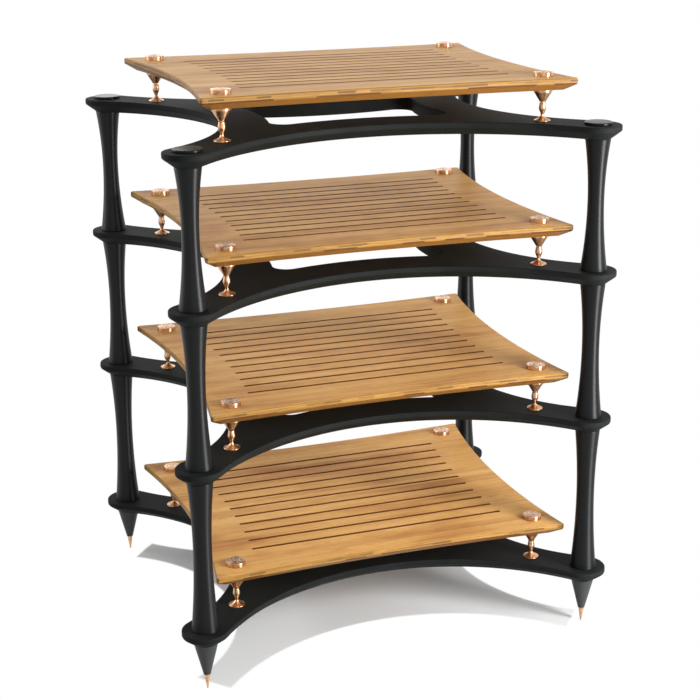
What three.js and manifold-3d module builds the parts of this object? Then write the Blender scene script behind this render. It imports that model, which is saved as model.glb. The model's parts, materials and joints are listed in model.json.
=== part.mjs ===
// Audio equipment rack: four frames stacked on waisted columns, each with a slotted shelf on turned feet.
// Millimetres, +Z up, +X to the right, +Y to the back.
// The origin is on the floor, under the middle of the rack.

import * as THREE from 'three';
import { mergeVertices } from 'three/addons/utils/BufferGeometryUtils.js';
import Module from 'manifold-3d';

const wasm = await Module();
wasm.setup();

// Plan: distances between the column axes, and sizes of a shelf between the places where its edges would meet
// The rack is a little wider at the back.
const columnFrontSpan = 600;
const columnBackSpan = 627;
const columnDepthSpan = 508;
const shelfFrontWidth = 554;
const shelfBackWidth = 576;
const shelfDepth = 471;

// Shelf feet: their axes, measured inwards from the lines between those places
const footFrontInset = 38.5; // from a side, at the front
const footBackInset = 42.5; // from a side, at the back
const footDepthInset = 39; // from the front and the back
const footFrontSpan = shelfFrontWidth - 2 * footFrontInset;
const footBackSpan = shelfBackWidth - 2 * footBackInset;
const footDepthSpan = shelfDepth - 2 * footDepthInset;

// Frames: a lobe round each column, joined by bars with inward curved edges round a window
const frameThickness = 20;
const lobeRadius = 34.5;
const frameFrontSink = 108; // from the line between the column axes to the middle of the front and back edges
const frameSideSink = 104;
const frontBarWidth = 66;
const sideBarWidth = 72;
const windowCornerRadius = 22;
const frameBevelInset = 15.5; // the bevel goes round the lower edge
const frameBevelHeight = 12;
const frameEdgeChamfer = 1.2;

// Columns: the tiers get lower and slimmer towards the top
const bottomColumnHeight = 227;
const bottomWaistRadius = 13.4;
const middleColumnHeight = 208;
const middleWaistRadius = 12.9;
const topColumnHeight = 195;
const topWaistRadius = 12;
const tiers = [
  { columnHeight: bottomColumnHeight, waistRadius: bottomWaistRadius },
  { columnHeight: middleColumnHeight, waistRadius: middleWaistRadius },
  { columnHeight: topColumnHeight, waistRadius: topWaistRadius },
];
const columnBottomRadius = 19.9;
const columnTopRadius = 18.9;
const columnWaistShare = 0.54;
const columnStudRadius = 5;
const columnStudEngagement = 22; // how far a stud reaches into the column above its frame
const studEndRelief = 1.5;
const capRadius = 20.4;
const capHeight = 4;
const capEdgeChamfer = 1;

// Foot cones and floor spikes
const coneHeight = 51.5;
const coneTopRadius = 18;
const coneEndRadius = 5.2;
const coneEndChamferHeight = 2.5;
const coneEndChamferInset = 0.7;
const spikeHeight = 23.5; // the bare part, below the cone
const spikeTopRadius = 4.3;
const spikeFlatRadius = 1.2;
const spikeShankRadius = 3;
const spikeShankLength = 28;

// Shelves: thin slotted boards with inward curved edges
const shelfThickness = 18;
const shelfFrontSink = 12; // how far the middle of an edge lies inside the line between its corners
const shelfSideSink = 22;
const shelfCornerRadius = 4;
const shelfBevelInset = 13.5;
const shelfBevelHeight = 10;
const shelfBevelCornerRadius = 2.5;
const slotWidth = 4.8;
const slotPitch = 31;
const slotsPerSide = 5; // in front of the middle slot, and behind it
const slotEndMargin = 64; // from a slot's end to the side edge

// Pedestals: a dish and a spindle on the frame, ending in a pin
const dishRadius = 12;
const dishRimHeight = 1.2;
const dishHeight = 8.6;
const spindleNeckRadius = 2.4;
const spindleBellyRadius = 5.7;
const spindleTopRadius = 5.1;
const spindleHeight = 17.9;
const spindleBellyShare = 0.62;
const pinRadius = 2.2;
const pinHeight = 5;
const pinTipRadius = 0.8;
const pinTipHeight = 1.6;
const pedestalStudRadius = 3;
const pedestalStudLength = 12;

// Shelf feet: a cone under the shelf, a stud through it and a disc on top
const footJointGap = 1.2; // the open groove between spindle and cone
const footConeEndRadius = 4.9;
const footConeHeight = 14.8;
const footRimRadius = 13.7;
const footRimHeight = 4.3;
const footStudRadius = 4;
const discRadius = 14.2;
const discHeight = 6.2; // above the shelf
const discRecess = 1; // sunk into the shelf
const discEdgeChamfer = 0.8;

// Clearances and cuts
const boreClearance = 0.3;
const recessClearance = 0.4;
const cutOverrun = 5;

// Facets
const columnFacets = 12;
const columnWaistSteps = 5;
const footFacets = 8;
const frameSteps = { edge: 9, corner: 7 };
const windowSteps = { edge: 4, corner: 4 };
const shelfSteps = { edge: 6, corner: 3 };
const slotEndSteps = 1;

// Colours and finishes
const frameMatt = new THREE.MeshStandardMaterial({ color: 0x2e3032, roughness: 0.75, metalness: 0 });
const columnSatin = new THREE.MeshStandardMaterial({ color: 0x1d1e20, roughness: 0.35, metalness: 0.2 });
const coneSatin = new THREE.MeshStandardMaterial({ color: 0x303133, roughness: 0.45, metalness: 0.3 });
const bronze = new THREE.MeshStandardMaterial({ color: 0xd99a72, roughness: 0.2, metalness: 1 });
const bamboo = new THREE.MeshStandardMaterial({ color: 0xc99657, roughness: 0.5, metalness: 0 });
for (const material of [frameMatt, columnSatin, coneSatin, bronze, bamboo]) material.flatShading = true;

// Closed geometries and booleans

// The same geometry with shared vertices and without the empty triangles at a turning axis
function welded(geometry) {
  geometry.deleteAttribute('normal');
  geometry.deleteAttribute('uv');
  const merged = mergeVertices(geometry);
  const corners = merged.index.array;
  const kept = [];
  for (let i = 0; i < corners.length; i += 3) {
    const [a, b, c] = corners.slice(i, i + 3);
    if (a !== b && b !== c && c !== a) kept.push(a, b, c);
  }
  merged.setIndex(kept);
  return merged;
}

function toSolid(geometry) {
  const mesh = new wasm.Mesh({
    numProp: 3,
    vertProperties: new Float32Array(geometry.attributes.position.array),
    triVerts: new Uint32Array(geometry.index.array),
  });
  return new wasm.Manifold(mesh);
}

function cutAway(body, cutters) {
  let solid = toSolid(body);
  for (const cutter of cutters) solid = solid.subtract(toSolid(cutter));
  const mesh = solid.getMesh();
  const geometry = new THREE.BufferGeometry();
  geometry.setAttribute('position', new THREE.BufferAttribute(mesh.vertProperties, 3));
  geometry.setIndex(new THREE.BufferAttribute(mesh.triVerts, 1));
  return geometry;
}

// A revolved piece. The profile lists [radius, height] from the axis at the bottom to the axis at the top.
function turned(profile, facets) {
  const points = profile.map(([radius, height]) => new THREE.Vector2(radius, height));
  return welded(new THREE.LatheGeometry(points, facets).rotateX(Math.PI / 2));
}

function boreCutter(radius, bottom, top, facets) {
  return turned([[0, bottom], [radius, bottom], [radius, top], [0, top]], facets);
}

// A solid between outlines of equally many points, one for each height
function lofted(rows) {
  const count = rows[0].outline.length;
  const last = (rows.length - 1) * count;
  const positions = rows.flatMap(({ outline, height }) => outline.flatMap(({ x, y }) => [x, y, height]));
  const index = [];
  for (let start = 0; start < last; start += count) {
    for (let i = 0; i < count; i++) {
      const here = start + i;
      const next = start + ((i + 1) % count);
      index.push(here, next, next + count, here, next + count, here + count);
    }
  }
  for (const [a, b, c] of THREE.ShapeUtils.triangulateShape(rows[0].outline, [])) index.push(c, b, a);
  for (const [a, b, c] of THREE.ShapeUtils.triangulateShape(rows.at(-1).outline, [])) {
    index.push(last + a, last + b, last + c);
  }
  const geometry = new THREE.BufferGeometry();
  geometry.setAttribute('position', new THREE.Float32BufferAttribute(positions, 3));
  geometry.setIndex(index);
  return geometry;
}

// Plans are lists of four corners, counter-clockwise from the front left.
function planCorners(frontSpan, backSpan, depthSpan, radius) {
  return [
    { place: 'front_left', x: -frontSpan / 2, y: -depthSpan / 2, radius },
    { place: 'front_right', x: frontSpan / 2, y: -depthSpan / 2, radius },
    { place: 'back_right', x: backSpan / 2, y: depthSpan / 2, radius },
    { place: 'back_left', x: -backSpan / 2, y: depthSpan / 2, radius },
  ];
}

// Outlines have four rounded corners joined by inward arcs, whose centres lie outside the outline.

// The arc that touches the circles of two corners.
// Its middle lies the sink inside the line between their centres.
function inwardArc(from, to, sink) {
  const span = Math.hypot(to.x - from.x, to.y - from.y);
  const reach = sink + from.radius;
  const distance = ((span / 2) ** 2 - reach ** 2) / (2 * reach);
  const x = (from.x + to.x) / 2 + (distance * (to.y - from.y)) / span;
  const y = (from.y + to.y) / 2 + (distance * (from.x - to.x)) / span;
  return { x, y, radius: distance + sink };
}

function inwardArcs(corners, frontSink, sideSink) {
  return corners.map((corner, i) => {
    const next = corners[(i + 1) % corners.length];
    return inwardArc(corner, next, i % 2 === 0 ? frontSink : sideSink);
  });
}

// The same arcs moved towards the middle of the outline
function insetArcs(arcs, frontInset, sideInset) {
  return arcs.map((arc, i) => ({ ...arc, radius: arc.radius + (i % 2 === 0 ? frontInset : sideInset) }));
}

// The round corners that touch the arcs on both sides of them
function cornersBetween(arcs, radius) {
  return arcs.map((after, i) => {
    const before = arcs.at(i - 1);
    const dx = after.x - before.x;
    const dy = after.y - before.y;
    const spacing = Math.hypot(dx, dy);
    const fromBefore = before.radius + radius;
    const fromAfter = after.radius + radius;
    const along = (fromBefore ** 2 - fromAfter ** 2 + spacing ** 2) / (2 * spacing);
    const across = Math.sqrt(fromBefore ** 2 - along ** 2);
    const x = before.x + (dx * along - dy * across) / spacing;
    const y = before.y + (dy * along + dx * across) / spacing;
    return { x, y, radius };
  });
}

function heading(from, to) {
  return Math.atan2(to.y - from.y, to.x - from.x);
}

// Points on an arc from one heading to another. The turn is 1 counter-clockwise and -1 clockwise.
function arcPoints({ x, y, radius }, start, end, turn, steps) {
  const sweep = turn * THREE.MathUtils.euclideanModulo(turn * (end - start), 2 * Math.PI);
  return Array.from({ length: steps + 1 }, (_, i) => {
    const angle = start + (sweep * i) / steps;
    return new THREE.Vector2(x + radius * Math.cos(angle), y + radius * Math.sin(angle));
  });
}

function outlinePoints(corners, arcs, steps) {
  return corners.flatMap((corner, i) => {
    const before = arcs.at(i - 1);
    const after = arcs[i];
    const next = corners[(i + 1) % corners.length];
    return [
      ...arcPoints(corner, heading(corner, before), heading(corner, after), 1, steps.corner),
      ...arcPoints(after, heading(after, corner), heading(after, next), -1, steps.edge).slice(1, -1),
    ];
  });
}

const columnPlaces = planCorners(columnFrontSpan, columnBackSpan, columnDepthSpan, lobeRadius);
const footPlaces = planCorners(footFrontSpan, footBackSpan, footDepthSpan, discRadius);

// Frame

const frameArcs = inwardArcs(columnPlaces, frameFrontSink, frameSideSink);

function frameOutline(inset) {
  const lobes = columnPlaces.map((lobe) => ({ ...lobe, radius: lobe.radius - inset }));
  return outlinePoints(lobes, insetArcs(frameArcs, inset, inset), frameSteps);
}

function windowOutline() {
  const arcs = insetArcs(frameArcs, frontBarWidth, sideBarWidth);
  return outlinePoints(cornersBetween(arcs, windowCornerRadius), arcs, windowSteps);
}

function makeFrame() {
  const body = lofted([
    { outline: frameOutline(frameBevelInset), height: 0 },
    { outline: frameOutline(0), height: frameBevelHeight },
    { outline: frameOutline(0), height: frameThickness - frameEdgeChamfer },
    { outline: frameOutline(frameEdgeChamfer), height: frameThickness },
  ]);
  const opening = windowOutline();
  const window = lofted([
    { outline: opening, height: -cutOverrun },
    { outline: opening, height: frameThickness + cutOverrun },
  ]);
  const studBores = columnPlaces.map(({ x, y }) => {
    const radius = columnStudRadius + boreClearance;
    return boreCutter(radius, -cutOverrun, frameThickness + cutOverrun, columnFacets).translate(x, y, 0);
  });
  const pedestalBores = footPlaces.map(({ x, y }) => {
    const bottom = frameThickness - pedestalStudLength - boreClearance;
    const radius = pedestalStudRadius + boreClearance;
    return boreCutter(radius, bottom, frameThickness + cutOverrun, footFacets).translate(x, y, 0);
  });
  return cutAway(body, [window, ...studBores, ...pedestalBores]);
}

// Columns

const studLength = frameThickness + columnStudEngagement;
const columnBoreDepth = columnStudEngagement + studEndRelief;
const columnBoreRadius = columnStudRadius + boreClearance;

// The outer side from the bottom end to the top end, a curve that is narrowest at the waist
function waistedSide({ columnHeight, waistRadius }) {
  return Array.from({ length: columnWaistSteps + 1 }, (_, i) => {
    const share = i / columnWaistSteps;
    const below = share < columnWaistShare;
    const endRadius = below ? columnBottomRadius : columnTopRadius;
    const run = below ? columnWaistShare : 1 - columnWaistShare;
    const bow = ((share - columnWaistShare) / run) ** 2;
    return [waistRadius + (endRadius - waistRadius) * bow, share * columnHeight];
  });
}

function columnProfile(tier) {
  return [
    [0, columnBoreDepth],
    [columnBoreRadius, columnBoreDepth],
    [columnBoreRadius, 0],
    ...waistedSide(tier),
    [columnStudRadius, tier.columnHeight],
  ];
}

function makeColumn(tier) {
  const studEnd = tier.columnHeight + studLength;
  return turned([...columnProfile(tier), [columnStudRadius, studEnd], [0, studEnd]], columnFacets);
}

// A top column's stud carries the cap that lies on the top frame
function makeCappedColumn(tier) {
  const capBottom = tier.columnHeight + frameThickness;
  const capTop = capBottom + capHeight;
  const profile = [
    ...columnProfile(tier),
    [columnStudRadius, capBottom],
    [capRadius, capBottom],
    [capRadius, capTop - capEdgeChamfer],
    [capRadius - capEdgeChamfer, capTop],
    [0, capTop],
  ];
  return turned(profile, columnFacets);
}

// Foot cones and floor spikes

function makeFootCone() {
  const boreRadius = spikeShankRadius + boreClearance;
  const boreDepth = spikeShankLength + studEndRelief;
  const profile = [
    [0, boreDepth],
    [boreRadius, boreDepth],
    [boreRadius, 0],
    [coneEndRadius - coneEndChamferInset, 0],
    [coneEndRadius, coneEndChamferHeight],
    [coneTopRadius, coneHeight],
    [columnStudRadius, coneHeight],
    [columnStudRadius, coneHeight + studLength],
    [0, coneHeight + studLength],
  ];
  return turned(profile, columnFacets);
}

function makeFloorSpike() {
  const profile = [
    [0, 0],
    [spikeFlatRadius, 0],
    [spikeTopRadius, spikeHeight],
    [spikeShankRadius, spikeHeight],
    [spikeShankRadius, spikeHeight + spikeShankLength],
    [0, spikeHeight + spikeShankLength],
  ];
  return turned(profile, columnFacets);
}

// Shelf

const shelfArcs = inwardArcs(
  planCorners(shelfFrontWidth, shelfBackWidth, shelfDepth, 0), shelfFrontSink, shelfSideSink);

function shelfOutline(inset, cornerRadius) {
  const arcs = insetArcs(shelfArcs, inset, inset);
  return outlinePoints(cornersBetween(arcs, cornerRadius), arcs, shelfSteps);
}

// A slot along X with round ends, which keep their distance from the curved side edge
function slotCutter(y) {
  const side = shelfArcs[1];
  const edgeX = side.x - Math.sqrt(side.radius ** 2 - (y - side.y) ** 2);
  const endX = edgeX - slotEndMargin - slotWidth / 2;
  const shape = new THREE.Shape();
  shape.absarc(endX, y, slotWidth / 2, -Math.PI / 2, Math.PI / 2);
  shape.absarc(-endX, y, slotWidth / 2, Math.PI / 2, (3 * Math.PI) / 2);
  const extrusion = { depth: shelfThickness + 2 * cutOverrun, bevelEnabled: false, curveSegments: slotEndSteps };
  return welded(new THREE.ExtrudeGeometry(shape, extrusion).translate(0, 0, -cutOverrun));
}

function makeShelf() {
  const body = lofted([
    { outline: shelfOutline(shelfBevelInset, shelfBevelCornerRadius), height: 0 },
    { outline: shelfOutline(0, shelfCornerRadius), height: shelfBevelHeight },
    { outline: shelfOutline(0, shelfCornerRadius), height: shelfThickness },
  ]);
  const slots = [];
  for (let i = -slotsPerSide; i <= slotsPerSide; i++) slots.push(slotCutter(i * slotPitch));
  const top = shelfThickness + cutOverrun;
  const studBores = footPlaces.map(({ x, y }) =>
    boreCutter(footStudRadius + boreClearance, -cutOverrun, top, footFacets).translate(x, y, 0));
  const recesses = footPlaces.map(({ x, y }) =>
    boreCutter(discRadius + recessClearance, shelfThickness - discRecess, top, footFacets).translate(x, y, 0));
  return cutAway(body, [...slots, ...studBores, ...recesses]);
}

// Pedestals and shelf feet

const spindleTop = dishHeight + spindleHeight;

function makePedestal() {
  const pinTop = spindleTop + pinHeight;
  const profile = [
    [0, -pedestalStudLength],
    [pedestalStudRadius, -pedestalStudLength],
    [pedestalStudRadius, 0],
    [dishRadius, 0],
    [dishRadius, dishRimHeight],
    [spindleNeckRadius, dishHeight],
    [spindleBellyRadius, dishHeight + spindleHeight * spindleBellyShare],
    [spindleTopRadius, spindleTop],
    [pinRadius, spindleTop],
    [pinRadius, pinTop - pinTipHeight],
    [pinTipRadius, pinTop],
    [0, pinTop],
  ];
  return turned(profile, footFacets);
}

// The pin of the pedestal stands in the blind socket of the cone and carries it
function makeShelfFoot() {
  const socketRadius = pinRadius + boreClearance;
  const socketDepth = pinHeight - footJointGap;
  const rimBottom = footConeHeight;
  const rimTop = rimBottom + footRimHeight;
  const discBottom = rimTop + shelfThickness - discRecess;
  const discTop = rimTop + shelfThickness + discHeight;
  const profile = [
    [0, socketDepth],
    [socketRadius, socketDepth],
    [socketRadius, 0],
    [footConeEndRadius, 0],
    [footRimRadius, rimBottom],
    [footRimRadius, rimTop],
    [footStudRadius, rimTop],
    [footStudRadius, discBottom],
    [discRadius, discBottom],
    [discRadius, discTop - discEdgeChamfer],
    [discRadius - discEdgeChamfer, discTop],
    [0, discTop],
  ];
  return turned(profile, footFacets);
}

// Assembly

const rack = new THREE.Group();

function add(parent, name, geometry, material, x, y, z) {
  const mesh = new THREE.Mesh(geometry, material);
  mesh.name = name;
  mesh.position.set(x, y, z);
  parent.add(mesh);
}

const frameGeometry = makeFrame();
const shelfGeometry = makeShelf();
const pedestalGeometry = makePedestal();
const shelfFootGeometry = makeShelfFoot();
const footConeGeometry = makeFootCone();
const floorSpikeGeometry = makeFloorSpike();

for (const { place, x, y } of columnPlaces) {
  add(rack, `floor_spike_${place}`, floorSpikeGeometry, bronze, x, y, 0);
  add(rack, `foot_cone_${place}`, footConeGeometry, coneSatin, x, y, spikeHeight);
}

// One level for each frame, with the columns of the tier above it
const footBottom = spindleTop + footJointGap;
const shelfBottom = footBottom + footConeHeight + footRimHeight;
let frameBottom = spikeHeight + coneHeight;
for (let i = 0; i <= tiers.length; i++) {
  const number = i + 1;
  const level = new THREE.Group();
  level.position.z = frameBottom + frameThickness;
  rack.add(level);
  add(level, `frame_${number}`, frameGeometry, frameMatt, 0, 0, -frameThickness);
  add(level, `shelf_${number}`, shelfGeometry, bamboo, 0, 0, shelfBottom);
  for (const { place, x, y } of footPlaces) {
    add(level, `pedestal_${number}_${place}`, pedestalGeometry, bronze, x, y, 0);
    add(level, `shelf_foot_${number}_${place}`, shelfFootGeometry, bronze, x, y, footBottom);
  }
  const tier = tiers[i];
  if (tier) {
    const isTop = number === tiers.length;
    const columnGeometry = isTop ? makeCappedColumn(tier) : makeColumn(tier);
    for (const { place, x, y } of columnPlaces) {
      add(level, `column_${number}_${place}`, columnGeometry, columnSatin, x, y, 0);
    }
    frameBottom += frameThickness + tier.columnHeight;
  }
}

export default rack;
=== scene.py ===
# Audio equipment rack: finer pieces, finishes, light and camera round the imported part.
# Metres, +Z up, +X to the right, +Y to the back, as in the part.

import json
import math

import bmesh
import bpy
from mathutils import Matrix, Vector

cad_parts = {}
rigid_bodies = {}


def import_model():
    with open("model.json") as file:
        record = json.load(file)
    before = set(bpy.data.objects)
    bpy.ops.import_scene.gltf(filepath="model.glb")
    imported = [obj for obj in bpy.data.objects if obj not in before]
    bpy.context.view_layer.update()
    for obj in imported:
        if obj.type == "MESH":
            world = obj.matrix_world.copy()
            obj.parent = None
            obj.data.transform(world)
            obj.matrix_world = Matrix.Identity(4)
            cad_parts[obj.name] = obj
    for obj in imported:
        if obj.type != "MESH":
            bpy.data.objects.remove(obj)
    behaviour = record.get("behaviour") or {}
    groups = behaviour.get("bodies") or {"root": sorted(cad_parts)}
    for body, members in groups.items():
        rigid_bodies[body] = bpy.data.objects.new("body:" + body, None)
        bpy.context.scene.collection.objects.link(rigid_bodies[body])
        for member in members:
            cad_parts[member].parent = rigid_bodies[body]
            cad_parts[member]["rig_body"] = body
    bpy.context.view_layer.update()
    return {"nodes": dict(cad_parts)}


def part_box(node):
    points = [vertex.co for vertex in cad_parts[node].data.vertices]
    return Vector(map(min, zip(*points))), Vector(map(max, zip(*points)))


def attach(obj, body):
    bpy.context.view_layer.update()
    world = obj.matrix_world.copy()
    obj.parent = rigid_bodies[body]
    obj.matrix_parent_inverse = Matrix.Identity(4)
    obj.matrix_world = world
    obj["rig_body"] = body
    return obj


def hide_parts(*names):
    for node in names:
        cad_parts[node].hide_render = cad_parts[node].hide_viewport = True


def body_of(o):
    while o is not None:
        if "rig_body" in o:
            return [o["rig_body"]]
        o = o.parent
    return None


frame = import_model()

PLACES = ("front_left", "front_right", "back_right", "back_left")
LEVELS = (1, 2, 3, 4)
TIERS = (1, 2, 3)

# Plan of the rack
COLUMN_FRONT_SPAN = 0.600
COLUMN_BACK_SPAN = 0.627
COLUMN_DEPTH_SPAN = 0.508

# Frames
FRAME_THICKNESS = 0.020
LOBE_RADIUS = 0.0342
FRAME_FRONT_SINK = 0.108
FRAME_SIDE_SINK = 0.104
FRONT_BAR_WIDTH = 0.066
SIDE_BAR_WIDTH = 0.072
WINDOW_CORNER_RADIUS = 0.022
FRAME_BEVEL_INSET = 0.0155
FRAME_BEVEL_HEIGHT = 0.012
FRAME_TOP_ROUNDING = 0.0016
FRAME_BAND_ROUNDING = 0.0012

# Columns, with the radius of the waist in each tier
WAIST_RADII = {1: 0.0134, 2: 0.0129, 3: 0.0120}
COLUMN_BOTTOM_RADIUS = 0.0199
COLUMN_TOP_RADIUS = 0.0189
COLUMN_WAIST_SHARE = 0.54
COLUMN_END_ROUNDING = 0.0012
CAP_RADIUS = 0.0204
CAP_HEIGHT = 0.004
CAP_ROUNDING = 0.0014

# Foot cones and floor spikes
CONE_HEIGHT = 0.0515
CONE_TOP_RADIUS = 0.018
CONE_END_RADIUS = 0.0052
CONE_END_ROUNDING = 0.0004
CONE_TOP_ROUNDING = 0.001
CONE_GROOVE_DEPTH = 0.0007
CONE_GROOVE_HEIGHTS = (0.0030, 0.0034, 0.0042, 0.0046)
SPIKE_HEIGHT = 0.0235
SPIKE_COLLAR_HEIGHT = 0.0012
SPIKE_TOP_RADIUS = 0.0043
SPIKE_TOP_ROUNDING = 0.0003
SPIKE_TIP_RADIUS = 0.0008
SPIKE_TIP_ROUNDING = 0.0004
SPIKE_SHANK_RADIUS = 0.003
SPIKE_SHANK_LENGTH = 0.028
SPIKE_BORE_RELIEF = 0.0015

# Shelves
SHELF_THICKNESS = 0.018
SHELF_FRONT_WIDTH = 0.554
SHELF_BACK_WIDTH = 0.576
SHELF_DEPTH = 0.471
SHELF_FRONT_SINK = 0.012
SHELF_SIDE_SINK = 0.022
SHELF_CORNER_RADIUS = 0.004
SHELF_BEVEL_INSET = 0.0135
SHELF_BEVEL_HEIGHT = 0.010
SHELF_BEVEL_CORNER_RADIUS = 0.0025
SHELF_TOP_ROUNDING = 0.0022
SHELF_BEVEL_ROUNDING = 0.0015
SLOT_WIDTH = 0.0048
SLOT_PITCH = 0.031
SLOTS_PER_SIDE = 5
SLOT_END_MARGIN = 0.064
SLOT_ROUNDING = 0.0006

# Pedestals
DISH_RADIUS = 0.012
DISH_RIM_HEIGHT = 0.0012
DISH_HEIGHT = 0.0086
DISH_HOLLOWNESS = 2.2
DISH_FOOT_ROUNDING = 0.0003
DISH_RIM_ROUNDING = 0.0004
SPINDLE_NECK_RADIUS = 0.0024
SPINDLE_BELLY_RADIUS = 0.0054
SPINDLE_TOP_RADIUS = 0.0044
SPINDLE_TOP_ROUNDING = 0.0005
SPINDLE_HEIGHT = 0.0179
SPINDLE_BELLY_SHARE = 0.56
PIN_RADIUS = 0.0022
PIN_HEIGHT = 0.005
PIN_TIP_RADIUS = 0.0008
PIN_TIP_HEIGHT = 0.0016

# Shelf feet
FOOT_JOINT_GAP = 0.0012
FOOT_CONE_END_RADIUS = 0.0049
FOOT_CONE_END_ROUNDING = 0.0004
FOOT_CONE_LIP_HEIGHT = 0.0012
FOOT_CONE_LIP_FLARE = 0.0002
FOOT_CONE_HEIGHT = 0.0148
FOOT_RIM_RADIUS = 0.0137
FOOT_RIM_HEIGHT = 0.0043
FOOT_RIM_ROUNDING = 0.0005
DISC_RADIUS = 0.0142
DISC_HEIGHT = 0.0062
DISC_ROUNDING = 0.0008
DISC_RECESS = 0.001
BORE_CLEARANCE = 0.0003
RECESS_CLEARANCE = 0.0004

# How finely the curves are drawn
PEN_SIZE = 0.0001
MERGE_DISTANCE = 0.00001
NEARNESS = 0.00005
TURNING_STEPS = 64
SMALL_TURNING_STEPS = 48
CORNER_STEPS = 24
ARC_STEPS = 48
SLOT_END_STEPS = 10
SIDE_STEPS = 28
DISH_STEPS = 8
BELLY_STEPS = 12
SHOULDER_STEPS = 6
ROUNDING_STEPS = 3
SHELF_TOP_ROUNDING_STEPS = 4
SLOT_ROUNDING_STEPS = 2
CUT_OVERRUN = 0.005
SMOOTH_ANGLE = math.radians(35)

# The upright part of a face's normal: more than this on a level face, less than this on the others
LEVEL_FACE_NORMAL = 0.99
SHELF_EDGE_NORMAL = 0.97
SLOT_WALL_NORMAL = 0.9

# Material slots after the first one, in a shelf and in a disc
SHELF_EDGE_MATERIAL = 1
SLOT_WALL_MATERIAL = 2
DISC_TOP_MATERIAL = 1


# The plan: corners and arcs are (x, y, radius), corners counter-clockwise from the front left


def plan_corners(front_span, back_span, depth_span, radius):
    return [
        (-front_span / 2, -depth_span / 2, radius),
        (front_span / 2, -depth_span / 2, radius),
        (back_span / 2, depth_span / 2, radius),
        (-back_span / 2, depth_span / 2, radius),
    ]


def inward_arc(start, end, sink):
    """The arc that touches two corners. Its middle lies that far inside the line of their centres."""
    span = math.dist(start[:2], end[:2])
    reach = sink + start[2]
    distance = ((span / 2) ** 2 - reach**2) / (2 * reach)
    x = (start[0] + end[0]) / 2 + distance * (end[1] - start[1]) / span
    y = (start[1] + end[1]) / 2 + distance * (start[0] - end[0]) / span
    return x, y, distance + sink


def inward_arcs(corners, front_sink, side_sink):
    sinks = (front_sink, side_sink, front_sink, side_sink)
    return [inward_arc(corners[i], corners[(i + 1) % 4], sinks[i]) for i in range(4)]


def moved_in(arcs, front_inset, side_inset):
    insets = (front_inset, side_inset, front_inset, side_inset)
    return [(x, y, radius + inset) for (x, y, radius), inset in zip(arcs, insets)]


def corners_between(arcs, radius):
    """The round corners that touch the arcs on both sides of them."""
    corners = []
    for i, after in enumerate(arcs):
        before = arcs[i - 1]
        across_x = after[0] - before[0]
        across_y = after[1] - before[1]
        spacing = math.hypot(across_x, across_y)
        from_before = before[2] + radius
        from_after = after[2] + radius
        along = (from_before**2 - from_after**2 + spacing**2) / (2 * spacing)
        aside = math.sqrt(from_before**2 - along**2)
        x = before[0] + (across_x * along - across_y * aside) / spacing
        y = before[1] + (across_y * along + across_x * aside) / spacing
        corners.append((x, y, radius))
    return corners


def heading(start, end):
    return math.atan2(end[1] - start[1], end[0] - start[0])


column_corners = plan_corners(COLUMN_FRONT_SPAN, COLUMN_BACK_SPAN, COLUMN_DEPTH_SPAN, LOBE_RADIUS)
frame_arcs = inward_arcs(column_corners, FRAME_FRONT_SINK, FRAME_SIDE_SINK)
window_arcs = moved_in(frame_arcs, FRONT_BAR_WIDTH, SIDE_BAR_WIDTH)
shelf_arcs = inward_arcs(
    plan_corners(SHELF_FRONT_WIDTH, SHELF_BACK_WIDTH, SHELF_DEPTH, 0), SHELF_FRONT_SINK, SHELF_SIDE_SINK
)


# Starting, drawing and finishing a piece


def clear_selection():
    bpy.ops.object.select_all(action="DESELECT")


def start_piece(name):
    """An empty mesh object at the origin, in edit mode."""
    clear_selection()
    bpy.ops.mesh.primitive_plane_add(size=PEN_SIZE)
    piece = bpy.context.object
    piece.name = name
    bpy.ops.object.mode_set(mode="EDIT")
    bpy.ops.mesh.delete(type="VERT")
    bpy.ops.mesh.select_mode(type="VERT")
    return piece


def draw_from(x, y, z):
    """Puts down one new vertex, which is then the only one selected."""
    bpy.ops.mesh.select_mode(type="VERT")
    bpy.ops.mesh.select_all(action="DESELECT")
    bpy.ops.mesh.primitive_plane_add(size=PEN_SIZE, location=(x, y, z))
    bpy.ops.mesh.merge(type="CENTER")


def draw_straight(x, y, z):
    """Draws a line on from the selected vertex by that much."""
    bpy.ops.mesh.extrude_region_move(TRANSFORM_OT_translate={"value": (x, y, z)})


def draw_arc(x, y, z, sweep, steps):
    """Draws an arc on from the selected vertex, counter-clockwise round a centre."""
    bpy.ops.mesh.spin(steps=steps, angle=-sweep, center=(x, y, z), axis=(0, 0, 1))


def draw_outline(corners, arcs, height):
    """Draws four round corners joined by inward arcs, and leaves the closed outline selected."""
    x, y, radius = corners[0]
    start = heading(corners[0], arcs[-1])
    draw_from(x + radius * math.cos(start), y + radius * math.sin(start), height)
    for i, corner in enumerate(corners):
        after = arcs[i]
        round_corner = heading(corner, after) - heading(corner, arcs[i - 1])
        along_edge = heading(after, corner) - heading(after, corners[(i + 1) % 4])
        draw_arc(corner[0], corner[1], height, round_corner % math.tau, CORNER_STEPS)
        draw_arc(after[0], after[1], height, -(along_edge % math.tau), ARC_STEPS)
    close_outline()


def close_outline():
    """Joins the ends of the line that was just drawn."""
    bpy.ops.mesh.select_linked()
    bpy.ops.mesh.remove_doubles(threshold=MERGE_DISTANCE)
    bpy.ops.mesh.select_linked()


def fill_and_raise(height):
    """Fills the selected outline with a face, and extrudes it upwards."""
    bpy.ops.mesh.edge_face_add()
    bpy.ops.mesh.extrude_region_move(TRANSFORM_OT_translate={"value": (0, 0, height)})


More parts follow.
